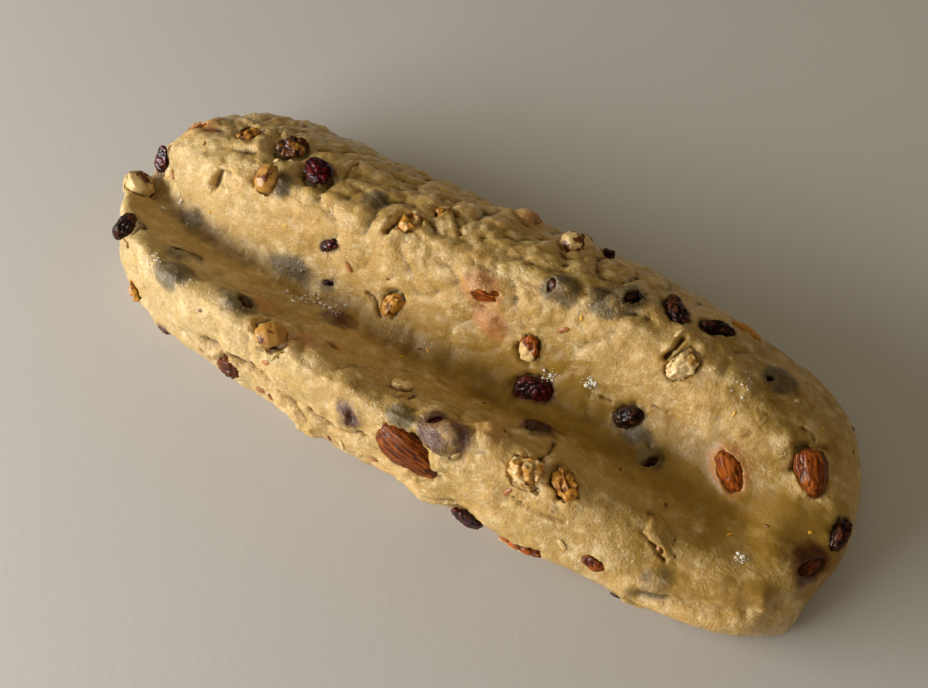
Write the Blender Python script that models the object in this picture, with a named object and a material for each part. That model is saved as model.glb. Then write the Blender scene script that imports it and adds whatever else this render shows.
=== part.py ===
"""A shaped, unbaked stollen: one long piece of fruit dough, pressed with a groove along its length,
and the pieces of dried fruit and nuts that show in its skin.

Frame: metres, +Z up, origin on the table under the middle of the loaf. +X runs along the loaf,
+Y across it towards the broad high ridge, and the narrow low ridge lies at -Y.
"""

import bpy
import bmesh
import numpy as np
from math import cos, pi, radians, sin
from mathutils import Matrix, Vector
from mathutils.bvhtree import BVHTree

MM = 0.001

# Driving sizes of the loaf, in millimetres.
LOAF_LENGTH = 280.0
STATIONS = 38  # cross-sections along the loaf, closer together towards its ends
TOP_POINTS = 22  # points over the top of one cross-section, from table to table
BASE_POINTS = 5  # points between them, flat on the table

# The cross-section at seven places along the loaf, in millimetres. The columns are x, the near
# side's y, the near ridge's y and z, the groove's y and z, the far ridge's y and z, and the far
# side's y.
RIBS = (
    (-140, -45, -33.5, 33, -11.5, 20.5, 2.5, 39, 50),
    (-99, -51, -43.5, 35.5, -15, 19, -2, 45, 51),
    (-50, -54, -46.5, 38, -12.5, 17.5, 2.5, 47, 52),
    (0, -54.5, -46, 36.5, -11.5, 16, 10.5, 49, 55.5),
    (50, -52, -38, 38.5, -3.5, 15.5, 17.5, 47.5, 58),
    (99, -47.5, -33, 26, -5.5, 20.5, 18, 41, 55.5),
    (140, -46, -30, 29, -12.5, 26, 14, 36, 55),
)
BASE_INSET = 6.5  # the loaf's foot stands this far inside its widest line
SIDE_HEIGHT = 10.0  # height of the widest line on the near side
NEAR_SHOULDER_INSET = 3.0  # the near side's shoulder stands this far inside its widest line
NEAR_SHOULDER = 0.63  # its height, as a share of the near ridge's
GROOVE_FALL = 0.55  # how much of the drop into the groove is done halfway there
FAR_SHOULDER_PLACE = 0.55  # how far the far shoulder lies from the far ridge to the far side
FAR_SHOULDER = 0.86  # its height, as a share of the far ridge's
FAR_WIDEST = 0.42  # height of the widest line on the far side, as a share of the far ridge's
WAIST = 16.0  # height to which both ends close

# How square each end is: the higher the power, the blunter the end.
LEFT_PLAN, LEFT_TOP, LEFT_SLANT = 9.0, 12.0, 0.03
RIGHT_PLAN, RIGHT_TOP, RIGHT_SLANT = 10.0, 4.0, -0.13
FOOT_POWER = 14.0

LARGE = 20.0  # a piece longer than this gets a finer mesh
SOCKET_GAP = 0.4  # clear space between a piece and the dough around it

# Each row is one piece: its name, roughly where it sits on the skin (x, y, z), the turn of its long
# axis from +X seen from outside, its length, width and thickness, how far its middle stands out of
# the skin, and how far its far end dips, in millimetres and degrees.
PIECES = (
    ("raisin_01", (-121, -35, 32), 82, (11.5, 9.0, 7.0), 0.6, 0),
    ("raisin_02", (-97, -32, 28), 25, (12.5, 8.5, 6.0), -1.6, 0),
    ("raisin_03", (-66, -39, 35), 0, (12.5, 8.5, 6.0), -0.9, 8),
    ("raisin_04", (-53, -10, 21), 30, (7.0, 5.0, 4.0), -0.8, 0),
    ("raisin_05", (25, 15, 49), 2, (11.0, 8.0, 6.0), -1.6, 8),
    ("raisin_06", (44, 26, 47), 67, (11.0, 8.0, 6.0), -0.9, 14),
    ("raisin_07", (58, 33, 43), -47, (14.0, 8.5, 6.5), 0.4, 0),
    ("raisin_08", (72, 36, 39), 36, (13.5, 7.5, 6.0), 0.3, 0),
    ("raisin_09", (61, 2, 22), 46, (11.5, 7.0, 6.0), 0.0, 0),
    ("raisin_10", (97, 34, 35), 67, (13.5, 9.5, 6.0), -1.9, 0),
    ("raisin_11", (136, 2, 21), -84, (11.4, 6.5, 6.0), 0.2, 0),
    ("raisin_12", (88, -48, 7), 0, (6.0, 4.5, 4.0), 0.0, 0),
    ("raisin_13", (74, -6, 18), 67, (7.6, 6.0, 5.0), -0.7, 0),
    ("cranberry_01", (-134, -3, 29), -74, (11.0, 8.0, 5.0), 0.2, 0),
    ("cranberry_02", (-72, 14, 45), -30, (14.8, 11.2, 6.0), 0.5, 0),
    ("cranberry_03", (-55, -4, 35), 44, (8.5, 4.5, 4.0), -0.2, 0),
    ("cranberry_04", (28.5, -4.5, 18), 19, (13.6, 10.6, 6.0), 0.5, 0),
    ("cranberry_05", (40, -20, 24), 48, (10.0, 9.5, 5.0), -0.7, 0),
    ("cranberry_06", (18, -44, 37), -30, (14.5, 11.0, 6.5), -2.2, 0),
    ("cranberry_07", (35, -53, 10), -13, (12.0, 8.0, 5.0), 0.4, 0),
    ("cranberry_08", (-95, -50, 9), 14, (8.0, 5.0, 4.0), 0.0, 0),
    ("cranberry_09", (25.5, 46, 35), -33, (5.5, 5.5, 4.5), -0.4, 0),
    ("almond_01", (11, -50.5, 25), -15, (24.5, 14.5, 8.0), -0.4, 0),
    ("almond_02", (98, 1, 24), -45, (15.5, 8.5, 7.0), -0.6, 0),
    ("almond_03", (120, 11, 30), -53, (16.0, 11.0, 8.0), 0.7, 0),
    ("almond_04", (131, -12, 21), 65, (16.0, 9.5, 7.5), -1.8, 0),
    ("almond_05", (2, 5, 42), -2, (12.7, 9.0, 7.0), -1.2, 0),
    ("almond_06", (-35, -37, 32), 27, (15.0, 8.5, 6.5), -1.9, -8),
    ("almond_chip_01", (22.5, 3, 29), -84, (10.5, 8.5, 5.0), 0.4, 0),
    ("almond_chip_02", (-62, -53, 15), 14, (10.5, 9.5, 6.0), -0.6, 0),
    ("almond_chip_03", (54, -53, 8), 10, (17.0, 5.4, 4.0), 0.3, 0),
    ("almond_chip_04", (78, -47, 18), -4, (8.5, 5.8, 4.5), -0.2, 0),
    ("almond_chip_05", (-126, 13, 38), 49, (11.0, 7.0, 5.0), -0.3, 0),
    ("hazelnut_01", (-136, -14, 22), -39, (12.0, 11.5, 9.0), 0.9, 0),
    ("hazelnut_02", (-84, 1, 46), 109, (11.0, 9.0, 8.0), 0.6, 0),
    ("hazelnut_03", (-47, -45, 37), 53, (11.0, 10.0, 8.5), 0.5, 0),
    ("hazelnut_04", (16.5, 40, 40), 60, (13.0, 11.0, 9.0), 0.6, 0),
    ("hazelnut_05", (-4, 43, 37), -5, (9.0, 8.5, 7.5), -1.0, 0),
    ("hazelnut_06", (32, -34, 34), -80, (11.0, 10.0, 9.0), -2.1, 0),
    ("walnut_01", (-88, 19, 42), 18, (13.0, 11.0, 7.0), 0.6, 0),
    ("walnut_02", (-106, 17, 41), 71, (11.3, 8.7, 6.5), -0.5, 0),
    ("walnut_03", (-31, 12, 49), 70, (10.5, 8.4, 7.0), -0.2, 0),
    ("walnut_04", (-25.5, 23, 45.5), 71, (7.4, 6.4, 5.5), -0.5, 0),
    ("walnut_05", (-27, -7, 25), 66, (11.0, 7.8, 6.5), -0.2, 0),
    ("walnut_06", (48.5, -41, 37), 10, (12.0, 11.0, 8.0), 0.5, 0),
    ("walnut_07", (61, -37, 36), -36, (12.5, 8.0, 6.5), -0.9, 0),
    ("walnut_08", (70, 16, 42), 60, (13.0, 9.7, 7.0), 0.5, 0),
    ("walnut_09", (-111, -47, 15), -46, (9.0, 7.0, 5.0), -0.1, 0),
    ("walnut_10", (90, -32, 26), -38, (13.5, 5.2, 5.5), -1.3, 0),
    ("walnut_chip_01", (-4, -33, 28), 38, (7.6, 6.4, 5.0), 0.4, 0),
    ("peel_01", (78, 48, 29), 17, (12.0, 7.0, 4.0), -0.2, 0),
)

# Hollows torn in the skin beside some of the pieces: place, turn, and length, width and depth.
HOLLOWS = (
    ((-99, -4, 41), 38, (9.8, 6.3, 7.0)),
    ((-34, 7.5, 47), 18, (6.5, 5.0, 6.0)),
    ((-29.5, -12, 23), -25, (7.9, 4.3, 6.0)),
    ((64, 18.5, 44), 72, (9.4, 3.0, 8.0)),
    ((-52.5, -46, 37), 62, (7.0, 4.0, 5.0)),
)

COLOURS = {
    "dough": (0.62, 0.45, 0.20),
    "raisin": (0.035, 0.016, 0.014),
    "cranberry": (0.12, 0.012, 0.014),
    "almond": (0.30, 0.095, 0.032),
    "almond_chip": (0.42, 0.17, 0.06),
    "hazelnut": (0.66, 0.45, 0.20),
    "walnut": (0.45, 0.24, 0.09),
    "walnut_chip": (0.70, 0.52, 0.28),
    "peel": (0.62, 0.30, 0.05),
}
ROUGHNESS = {"dough": 0.5, "raisin": 0.35, "cranberry": 0.3}
PLAIN_ROUGHNESS = 0.45


def clear_scene():
    for item in list(bpy.data.objects):
        bpy.data.objects.remove(item, do_unlink=True)


def material(kind):
    """The finish of one kind of piece, made once."""
    name = kind + "_finish"
    if name in bpy.data.materials:
        return bpy.data.materials[name]
    made = bpy.data.materials.new(name)
    made.use_nodes = True
    shader = made.node_tree.nodes["Principled BSDF"]
    shader.inputs["Base Color"].default_value = (*COLOURS[kind], 1.0)
    shader.inputs["Roughness"].default_value = ROUGHNESS.get(kind, PLAIN_ROUGHNESS)
    return made


def kind_of(name):
    return name.rsplit("_", 1)[0]


def smooth_through(knots, values, where):
    """Read a smooth curve that passes through values at knots, at each place in where."""
    knots = np.asarray(knots, float)
    values = np.asarray(values, float)
    slopes = np.gradient(values, knots, axis=0)
    left = np.clip(np.searchsorted(knots, where, side="right") - 1, 0, len(knots) - 2)
    span = (knots[left + 1] - knots[left])[:, None]
    t = ((np.asarray(where) - knots[left])[:, None]) / span
    start = values[left] * (2 * t**3 - 3 * t**2 + 1)
    end = values[left + 1] * (3 * t**2 - 2 * t**3)
    leave = slopes[left] * span * (t**3 - 2 * t**2 + t)
    arrive = slopes[left + 1] * span * (t**3 - t**2)
    return start + end + leave + arrive


def between(start, end, share):
    return start + (end - start) * share


def section(rib):
    """Points (y, z) of one cross-section before its end is closed, anticlockwise from the near foot."""
    near_side, near_y, near_z, groove_y, groove_z, far_y, far_z, far_side = rib
    outline = np.array([
        (near_side + BASE_INSET, 0.0),
        (near_side, SIDE_HEIGHT),
        (near_side + NEAR_SHOULDER_INSET, NEAR_SHOULDER * near_z),
        (near_y, near_z),
        ((near_y + groove_y) / 2, between(near_z, groove_z, GROOVE_FALL)),
        (groove_y, groove_z),
        ((groove_y + far_y) / 2, (groove_z + far_z) / 2),
        (far_y, far_z),
        (between(far_y, far_side, FAR_SHOULDER_PLACE), FAR_SHOULDER * far_z),
        (far_side, FAR_WIDEST * far_z),
        (far_side - BASE_INSET, 0.0),
    ])
    steps = np.sqrt(np.linalg.norm(np.diff(outline, axis=0), axis=1))
    along = np.concatenate([[0.0], np.cumsum(steps)])
    top = smooth_through(along, outline, np.linspace(0.0, along[-1], TOP_POINTS))
    base = np.linspace(top[-1], top[0], BASE_POINTS + 2)[1:-1]
    return np.vstack([top, base])


def closing(u, power):
    """How much of the full size is left at u, from 1 in the middle of the loaf to 0 at its tip."""
    return (1.0 - abs(u) ** power) ** 0.5 if abs(u) < 1.0 else 0.0


def dough_mesh():
    """The loaf as rings of points from end to end, closed to a point at both tips."""
    angles = np.linspace(-pi / 2, pi / 2, STATIONS)[1:-1]
    ribs = np.array(RIBS, float)
    places = np.sin(angles)
    rows = smooth_through(ribs[:, 0], ribs[:, 1:], places * LOAF_LENGTH / 2)
    mesh = bmesh.new()
    rings = []
    for u, rib in zip(places, rows):
        left = u < 0
        plan = closing(u, LEFT_PLAN if left else RIGHT_PLAN)
        rise = closing(u, LEFT_TOP if left else RIGHT_TOP)
        foot = closing(u, FOOT_POWER)
        slant = (LEFT_SLANT if left else RIGHT_SLANT) * abs(u) ** 3
        ring = []
        for y, z in section(rib):
            y *= plan
            z = WAIST + (z - WAIST) * (rise if z > WAIST else foot)
            ring.append(mesh.verts.new(Vector((u * LOAF_LENGTH / 2 + slant * y, y, z)) * MM))
        rings.append(ring)
    for ring, following in zip(rings, rings[1:]):
        for i in range(len(ring)):
            j = (i + 1) % len(ring)
            mesh.faces.new((ring[i], ring[j], following[j], following[i]))
    for ring, end in ((rings[0], -1), (rings[-1], 1)):
        tip = mesh.verts.new(Vector((end * LOAF_LENGTH / 2, 0, WAIST)) * MM)
        for i in range(len(ring)):
            mesh.faces.new((ring[i], ring[(i + 1) % len(ring)], tip))
    bmesh.ops.recalc_face_normals(mesh, faces=mesh.faces)
    return mesh


def raisin_radius(t, turn, seed):
    """Long folds down a dried grape: t runs 0 to 1 from end to end, turn goes round it."""
    return 1.0 + 0.10 * sin(4 * turn + 3 * t + seed) + 0.05 * sin(7 * turn - 5 * t + 2 * seed)


def cranberry_radius(t, turn, seed):
    """A flat berry, cut and dried, with a few broad lobes."""
    return 1.0 + 0.12 * sin(3 * turn + 4 * t + seed) + 0.08 * cos(2 * pi * t + seed)


def almond_radius(t, turn, seed):
    """Broad and round at one end, drawn out to a point at the other."""
    return (1.0 + 0.32 * cos(pi * t)) * (1.0 + 0.03 * sin(6 * turn + seed))


def hazelnut_radius(t, turn, seed):
    """Nearly a ball, with a low point at one end."""
    return 1.0 + 0.06 * sin(2 * turn + seed) + 0.05 * cos(pi * t)


def walnut_radius(t, turn, seed):
    """A broken piece of kernel: deep lobes that wind round it."""
    return 1.0 + 0.20 * sin(3 * turn + 6 * t + seed) + 0.08 * sin(5 * turn - 4 * t)


def chip_radius(t, turn, seed):
    """A chopped piece: flat cut faces that meet at soft edges."""
    return 0.88 / max(abs(cos(turn + 0.4 * sin(seed))), abs(sin(turn + 0.4 * sin(seed)))) ** 0.7


RADIUS = {
    "raisin": raisin_radius,
    "cranberry": cranberry_radius,
    "almond": almond_radius,
    "almond_chip": chip_radius,
    "hazelnut": hazelnut_radius,
    "walnut": walnut_radius,
    "walnut_chip": chip_radius,
    "peel": chip_radius,
}


def piece_points(kind, size, seed):
    """Rings of points along a piece that lies along X, with its widths at right angles to that."""
    length, width, thickness = (side / 2 for side in size)
    rings, round_it = (6, 9) if length > LARGE / 2 else (4, 7)
    radius = RADIUS[kind]
    tips = [Vector((-length, 0, 0)), Vector((length, 0, 0))]
    rows = []
    for r in range(1, rings + 1):
        t = r / (rings + 1)
        swell = sin(pi * t) ** 0.85
        row = []
        for s in range(round_it):
            turn = 2 * pi * s / round_it
            reach = swell * radius(t, turn, seed)
            row.append(Vector((-length * cos(pi * t), width * reach * cos(turn), thickness * reach * sin(turn))))
        rows.append(row)
    return tips, rows


def piece_mesh(kind, size, seed, clearance=0.0):
    """A closed piece of fruit or nut, or the room for it when a clearance all round is given."""
    tips, rows = piece_points(kind, size, seed)
    mesh = bmesh.new()
    rings = [[mesh.verts.new(point * MM) for point in row] for row in rows]
    for ring, following in zip(rings, rings[1:]):
        for i in range(len(ring)):
            j = (i + 1) % len(ring)
            mesh.faces.new((ring[i], ring[j], following[j], following[i]))
    for ring, tip in ((rings[0], tips[0]), (rings[-1], tips[1])):
        point = mesh.verts.new(tip * MM)
        for i in range(len(ring)):
            mesh.faces.new((ring[i], ring[(i + 1) % len(ring)], point))
    bmesh.ops.triangulate(mesh, faces=mesh.faces)
    bmesh.ops.recalc_face_normals(mesh, faces=mesh.faces)
    mesh.normal_update()
    moves = [(vertex, vertex.normal * clearance * vertex.calc_shell_factor()) for vertex in mesh.verts]
    for vertex, move in moves:
        vertex.co += move * MM
    return mesh


def seat(skin, place, turn, proud, dip=0.0):
    """Where a piece lies: on the skin's nearest point, flat to it, turned, and sunk or raised."""
    point, normal, _, _ = skin.find_nearest(Vector(place) * MM)
    along = Vector((1, 0, 0))
    along = (along - normal * along.dot(normal)).normalized()
    across = normal.cross(along)
    frame = Matrix((along, across, normal)).transposed().to_4x4()
    lie = Matrix.Rotation(radians(turn), 4, "Z") @ Matrix.Rotation(radians(dip), 4, "Y")
    return Matrix.Translation(point + normal * proud * MM) @ frame @ lie


def add_object(name, mesh, kind, place=None):
    data = bpy.data.meshes.new(name)
    mesh.to_mesh(data)
    mesh.free()
    data.shade_smooth()
    data.materials.append(material(kind))
    made = bpy.data.objects.new(name, data)
    if place is not None:
        made.matrix_world = place
    bpy.context.scene.collection.objects.link(made)
    return made


def add_cutter(name, mesh, place, group):
    data = bpy.data.meshes.new(name)
    mesh.to_mesh(data)
    mesh.free()
    made = bpy.data.objects.new(name, data)
    made.matrix_world = place
    made.hide_render = True
    made.display_type = "WIRE"
    group.objects.link(made)
    return made


def main():
    clear_scene()
    mesh = dough_mesh()
    skin = BVHTree.FromBMesh(mesh)
    dough = add_object("dough", mesh, "dough")

    sockets = bpy.data.collections.new("sockets")
    bpy.context.scene.collection.children.link(sockets)
    for number, (name, place, turn, size, proud, dip) in enumerate(PIECES):
        kind = kind_of(name)
        at = seat(skin, place, turn, proud, dip)
        add_object(name, piece_mesh(kind, size, number), kind, at)
        add_cutter(name + "_socket", piece_mesh(kind, size, number, SOCKET_GAP), at, sockets)
    for number, (place, turn, size) in enumerate(HOLLOWS):
        at = seat(skin, place, turn, 0.0)
        add_cutter("hollow_%d" % number, piece_mesh("hazelnut", size, number), at, sockets)

    cut = dough.modifiers.new("sockets", "BOOLEAN")
    cut.operation = "DIFFERENCE"
    cut.operand_type = "COLLECTION"
    cut.collection = sockets


main()
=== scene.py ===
# %% [markdown]
# # An unbaked stollen, ready for the oven
#
# This lesson dresses a plain, correctly sized model of a shaped stollen. The model gives one solid
# loaf and 51 solids of fruit and nut. The loaf gets a real dough skin, with films, tears and folds,
# and each fruit gets its wrinkles, ridges and gloss.
#
# The first step loads the sized model. Every position below is in its frame: the origin is on the
# table under the loaf, +X runs along it, +Y runs towards the broad high ridge, and +Z is up.

# %% Load the sized model
from math import cos, pi, radians, sin
import bmesh
import bpy
import numpy as np
from mathutils import Matrix, Vector
from mathutils.bvhtree import BVHTree


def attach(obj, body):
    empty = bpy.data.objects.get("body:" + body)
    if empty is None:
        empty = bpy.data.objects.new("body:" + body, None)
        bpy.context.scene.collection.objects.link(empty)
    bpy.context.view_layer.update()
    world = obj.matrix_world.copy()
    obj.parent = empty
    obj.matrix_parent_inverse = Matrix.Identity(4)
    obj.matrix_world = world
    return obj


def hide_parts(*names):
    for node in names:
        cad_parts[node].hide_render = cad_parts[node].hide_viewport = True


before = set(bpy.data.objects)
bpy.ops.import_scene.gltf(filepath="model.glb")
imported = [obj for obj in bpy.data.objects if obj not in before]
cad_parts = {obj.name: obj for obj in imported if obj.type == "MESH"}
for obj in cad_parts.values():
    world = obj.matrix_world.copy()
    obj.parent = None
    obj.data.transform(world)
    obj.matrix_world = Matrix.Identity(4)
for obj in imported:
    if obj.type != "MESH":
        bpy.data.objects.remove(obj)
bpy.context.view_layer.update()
MM = 0.001

# %% [markdown]
# ## Noise that can be measured in millimetres
#
# Dough is uneven at every scale, so the lesson needs noise in mesh code. Blender has its own, but
# it reads one point at a time. This one reads a whole array of points at once: it finds the
# corners of the cell that each point is in, gives each corner a random slope, and blends them.

# %% Noise for arrays of points
def lumps(points, size, seed=0):
    """Smooth noise, about -1 to 1, whose lumps are size millimetres across."""
    place = np.asarray(points, float) / size + 37.31 * (seed + 1)
    cell = np.floor(place).astype(np.int64)
    inside = place - cell
    blend = inside**3 * (inside * (inside * 6 - 15) + 10)
    total = np.zeros(len(place))
    for corner in np.ndindex(2, 2, 2):
        at = cell + corner
        mixed = (at[:, 0] * 73856093) ^ (at[:, 1] * 19349663) ^ (at[:, 2] * 83492791)
        mixed = (mixed * 2654435761) & 0xFFFFFFFF
        mixed = ((mixed ^ (mixed >> 15)) * 2246822519) & 0xFFFFFFFF
        slope = np.stack([((mixed >> shift) & 255) / 127.5 - 1 for shift in (3, 11, 19)], axis=1)
        share = np.prod(np.where(corner, blend, 1 - blend), axis=1)
        total += share * ((inside - corner) * slope).sum(axis=1)
    return total * 1.5


def creases(points, size, seed=0):
    """Noise from 0 to 1 that is 1 along thin winding lines, as in wrinkled skin."""
    return (1 - np.minimum(np.abs(lumps(points, size, seed)) * 2.2, 1)) ** 2


def step(low, high, value):
    """0 below low, 1 above high, and a smooth rise between."""
    t = np.clip((value - low) / (high - low), 0, 1)
    return t * t * (3 - 2 * t)


test = lumps(np.random.default_rng(1).uniform(-50, 50, (20000, 3)), 5)
print("noise runs from %.2f to %.2f, deviation %.2f" % (test.min(), test.max(), test.std()))

# %% [markdown]
# ## Meshes as arrays
#
# Dough could be sculpted by hand or built from a stack of modifiers. Here most shaping is
# arithmetic on arrays of points, because then a film, a gap or a fold can be given in millimetres
# and made again the same. These helpers move a mesh between Blender and arrays, remake it with even
# faces by voxels, and ease its points together. The loaded model keeps three points of its own for
# each triangle, so they are welded first.

# %% To arrays and back
def arrays_of(mesh):
    """Points in millimetres, and the faces as lists."""
    points = np.empty(len(mesh.vertices) * 3)
    mesh.vertices.foreach_get("co", points)
    return points.reshape(-1, 3) / MM, [tuple(face.vertices) for face in mesh.polygons]


def mesh_of(name, points, faces):
    mesh = bpy.data.meshes.new(name)
    mesh.from_pydata((np.asarray(points) * MM).tolist(), [], [list(map(int, face)) for face in faces])
    mesh.update()
    return mesh


def welded(node):
    mesh = bmesh.new()
    mesh.from_mesh(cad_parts[node].data)
    bmesh.ops.remove_doubles(mesh, verts=mesh.verts, dist=1e-6)
    made = bpy.data.meshes.new(node + "_welded")
    mesh.to_mesh(made)
    mesh.free()
    return arrays_of(made)


def normals_of(points, faces):
    """A unit normal for each point, from the triangles or quads around it."""
    mesh = mesh_of("normals", points, faces)
    normals = np.empty(len(points) * 3, np.float32)
    mesh.vertices.foreach_get("normal", normals)
    bpy.data.meshes.remove(mesh)
    return normals.reshape(-1, 3).astype(float)


loaf_points, loaf_faces = welded("dough")
print("plain loaf:", len(loaf_points), "points and", len(loaf_faces), "triangles")

# %% Even faces and easing
def remeshed(points, faces, voxel):
    """The same closed shape in even quads about voxel millimetres wide."""
    made = bpy.data.objects.new("remesh", mesh_of("remesh", points, faces))
    bpy.context.scene.collection.objects.link(made)
    voxels = made.modifiers.new("voxels", "REMESH")
    voxels.mode = "VOXEL"
    voxels.voxel_size = voxel * MM
    graph = bpy.context.evaluated_depsgraph_get()
    result = arrays_of(bpy.data.meshes.new_from_object(made.evaluated_get(graph)))
    bpy.data.objects.remove(made)
    return result


def edges_of(faces):
    ends = np.concatenate([np.stack([face, np.roll(face, -1)], axis=1) for face in map(np.array, faces)])
    return np.unique(np.sort(ends, axis=1), axis=0)


def between_neighbours(points, edges):
    """For each point, the middle of the points that its edges lead to."""
    count = np.bincount(edges.ravel(), minlength=len(points))[:, None]
    pull = np.zeros_like(points)
    for axis in range(3):
        pull[:, axis] += np.bincount(edges[:, 0], points[edges[:, 1], axis], len(points))
        pull[:, axis] += np.bincount(edges[:, 1], points[edges[:, 0], axis], len(points))
    return pull / count


INWARD, OUTWARD = 0.5, -0.52  # the two halves of a round of easing, as shares of the way


def eased(points, edges, rounds, free=1.0):
    """Points drawn towards their neighbours and back out again, so that steps go and size stays."""
    points = points.copy()
    for turn in range(2 * rounds):
        share = (INWARD, OUTWARD)[turn % 2] * free
        points += share * (between_neighbours(points, edges) - points)
    return points


fruit_names = sorted(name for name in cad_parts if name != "dough")
print(len(fruit_names), "pieces of fruit and nut")

# %% [markdown]
# ## How each piece lies in the dough
#
# Wrinkles run along a raisin and ridges along an almond, and the dough opens over a piece in its
# own directions. So each piece needs its own axes. They come from the spread of its points: the
# widest spread is its length, the least is its thickness, and the thickness axis is turned to
# point out of the loaf. Along always points towards the +X end of the loaf.

# %% Each piece's own axes
class Lie:
    """Where a piece lies: its middle, its half sizes, and its axes along, across and outward."""

    def __init__(self, points):
        self.middle = (points.min(axis=0) + points.max(axis=0)) / 2
        spread = np.linalg.svd(points - points.mean(axis=0), full_matrices=False)[2]
        out = self.middle - self.middle * (0.93, 0.5, 0.0) - (0, 0, 8)
        outward = spread[2] * np.sign(spread[2] @ out)
        along = spread[0] * np.sign(spread[0] @ (1, 0.05, 0))
        self.axes = np.stack([along, np.cross(outward, along), outward])
        local = (points - self.middle) @ self.axes.T
        self.middle = self.middle + (local.max(axis=0) + local.min(axis=0)) / 2 @ self.axes
        self.half = (local.max(axis=0) - local.min(axis=0)) / 2

    def local(self, points):
        return (points - self.middle) @ self.axes.T

    def world(self, local):
        return local @ self.axes + self.middle


kinds = {name: name.rsplit("_", 1)[0] for name in fruit_names}
plain = {name: welded(name) for name in fruit_names}
lies = {name: Lie(plain[name][0]) for name in fruit_names}
for name in ("almond_01", "raisin_08"):
    print(name, "sides in mm:", (2 * lies[name].half).round(1))

# %% [markdown]
# ## The skins of fruit and nut
#
# A raisin dries into deep folds that run from end to end, a cranberry into short wrinkles all
# over, an almond keeps fine ridges along its brown skin, and a walnut kernel is a knot of lobes.
# They could be bump in a material, but at this size they change the outline and the glints, so
# they are real relief: each piece gets an even mesh, then each point moves along its normal.
# How deep a point ended is kept with it, so that the finish can paint the furrows darker, as painted
# shade.

# %% Wrinkles of dried fruit
def raisin_relief(local, seed):
    drawn = local * (0.5, 1.0, 1.0)
    folds = creases(drawn, 2.4, seed) + 0.6 * creases(local * (0.8, 1, 1), 1.3, seed + 9)
    return 0.5 * lumps(local, 5.0, seed + 3) - 0.55 * folds


def cranberry_relief(local, seed):
    wrinkles = creases(local, 2.3, seed) + 0.7 * creases(local, 1.3, seed + 9)
    return 0.40 * lumps(local, 5.0, seed + 3) - 0.42 * wrinkles


sample = lies["raisin_08"].local(plain["raisin_08"][0])
print("folds of a raisin: %.1f mm deep" % np.ptp(raisin_relief(sample, 0)))

# %% Ridges and lobes of nuts
def almond_relief(local, seed):
    drawn = local * (0.10, 1.0, 1.0)
    return -0.22 * creases(drawn, 1.5, seed) + 0.12 * lumps(drawn, 2.4, seed + 5)


def almond_chip_relief(local, seed):
    broken = 0.35 * lumps(local, 3.0, seed + 7) - 0.4 * creases(local, 4.0, seed + 8)
    return almond_relief(local, seed) + broken


def hazelnut_relief(local, seed):
    return 0.12 * lumps(local, 4.0, seed) + 0.03 * lumps(local, 1.0, seed + 4)


def walnut_relief(local, seed):
    lobes = creases(local, 5.2, seed) + 0.45 * creases(local, 2.4, seed + 9)
    return 0.55 * lumps(local, 6.0, seed + 2) - 1.05 * lobes


def chip_relief(local, seed):
    return 0.22 * lumps(local, 3.0, seed) - 0.12 * creases(local, 1.6, seed + 5)


RELIEFS = {
    "raisin": raisin_relief,
    "cranberry": cranberry_relief,
    "almond": almond_relief,
    "almond_chip": almond_chip_relief,
    "hazelnut": hazelnut_relief,
    "walnut": walnut_relief,
    "walnut_chip": chip_relief,
    "peel": chip_relief,
}
print(len(RELIEFS), "sorts of relief")

# %% Carve each piece
FRUIT_MESH = 0.42  # width of a fruit's mesh faces, in millimetres
HALVED = {"hazelnut_01": 1.6}  # a nut split in two, and how deep the hollow in its half is


def carved_fruit(name, seed):
    """Points, faces and depth of relief of one piece, from its plain solid."""
    points, faces = remeshed(*plain[name], FRUIT_MESH)
    points = eased(points, edges_of(faces), 10)
    local = lies[name].local(points)
    relief = RELIEFS[kinds[name]](local, seed)
    if name in HALVED:
        inside = np.hypot(*(local / lies[name].half).T[:2])
        relief -= HALVED[name] * (1 - step(0.25, 0.6, inside)) * (local[:, 2] > 0)
    points = points + normals_of(points, faces) * relief[:, None]
    spread = np.percentile(relief, (5, 95))
    return points, faces, np.clip((relief - spread[0]) / (spread[1] - spread[0]), 0, 1)


carved = {name: carved_fruit(name, seed) for seed, name in enumerate(fruit_names)}
print("points on all fruit:", sum(len(points) for points, _, _ in carved.values()))

# %% [markdown]
# ## Fruit under the skin
#
# Some fruit is covered by a thin film of dough and shows only as a bump and a shadow of colour.
# Those pieces have no solids of their own. A painted spot would give the colour but no bump. So
# here they are soft ovals just under the surface, used to raise the skin and to tint it, and never
# shown themselves.

# %% Where fruit is covered
BURIED = (
    # kind, place on the skin, turn of its length from +X, length, width and thickness
    ("raisin", (-78, 3, 43), 0, (7, 6, 5)),
    ("raisin", (-110, -12, 21), 60, (13, 7, 6)),
    ("raisin", (-92, -42, 35), 20, (12, 9, 7)),
    ("raisin", (-68, -11, 21), 10, (15, 9, 6)),
    ("raisin", (-48, 14, 46), 0, (7, 6, 5)),
    ("hazelnut", (-62, -33, 29), 0, (11, 10, 9)),
    ("cranberry", (-41, -19, 19), 28, (12, 8, 6)),
    ("cranberry", (-12, -51, 27), 0, (9, 8, 7)),
    ("raisin", (5, -45, 36), 0, (8, 5, 5)),
    ("cranberry", (24, -45, 37), 20, (10, 9, 6)),
    ("almond", (8, 1, 33), -22, (12, 8, 7)),
    ("raisin", (40, 21, 48), 20, (12, 9, 6)),
    ("raisin", (66, -2, 19), 20, (10, 5, 5)),
    ("raisin", (97, -43, 19), 50, (11, 8, 7)),
)
print(len(BURIED), "covered pieces to make")

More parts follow.
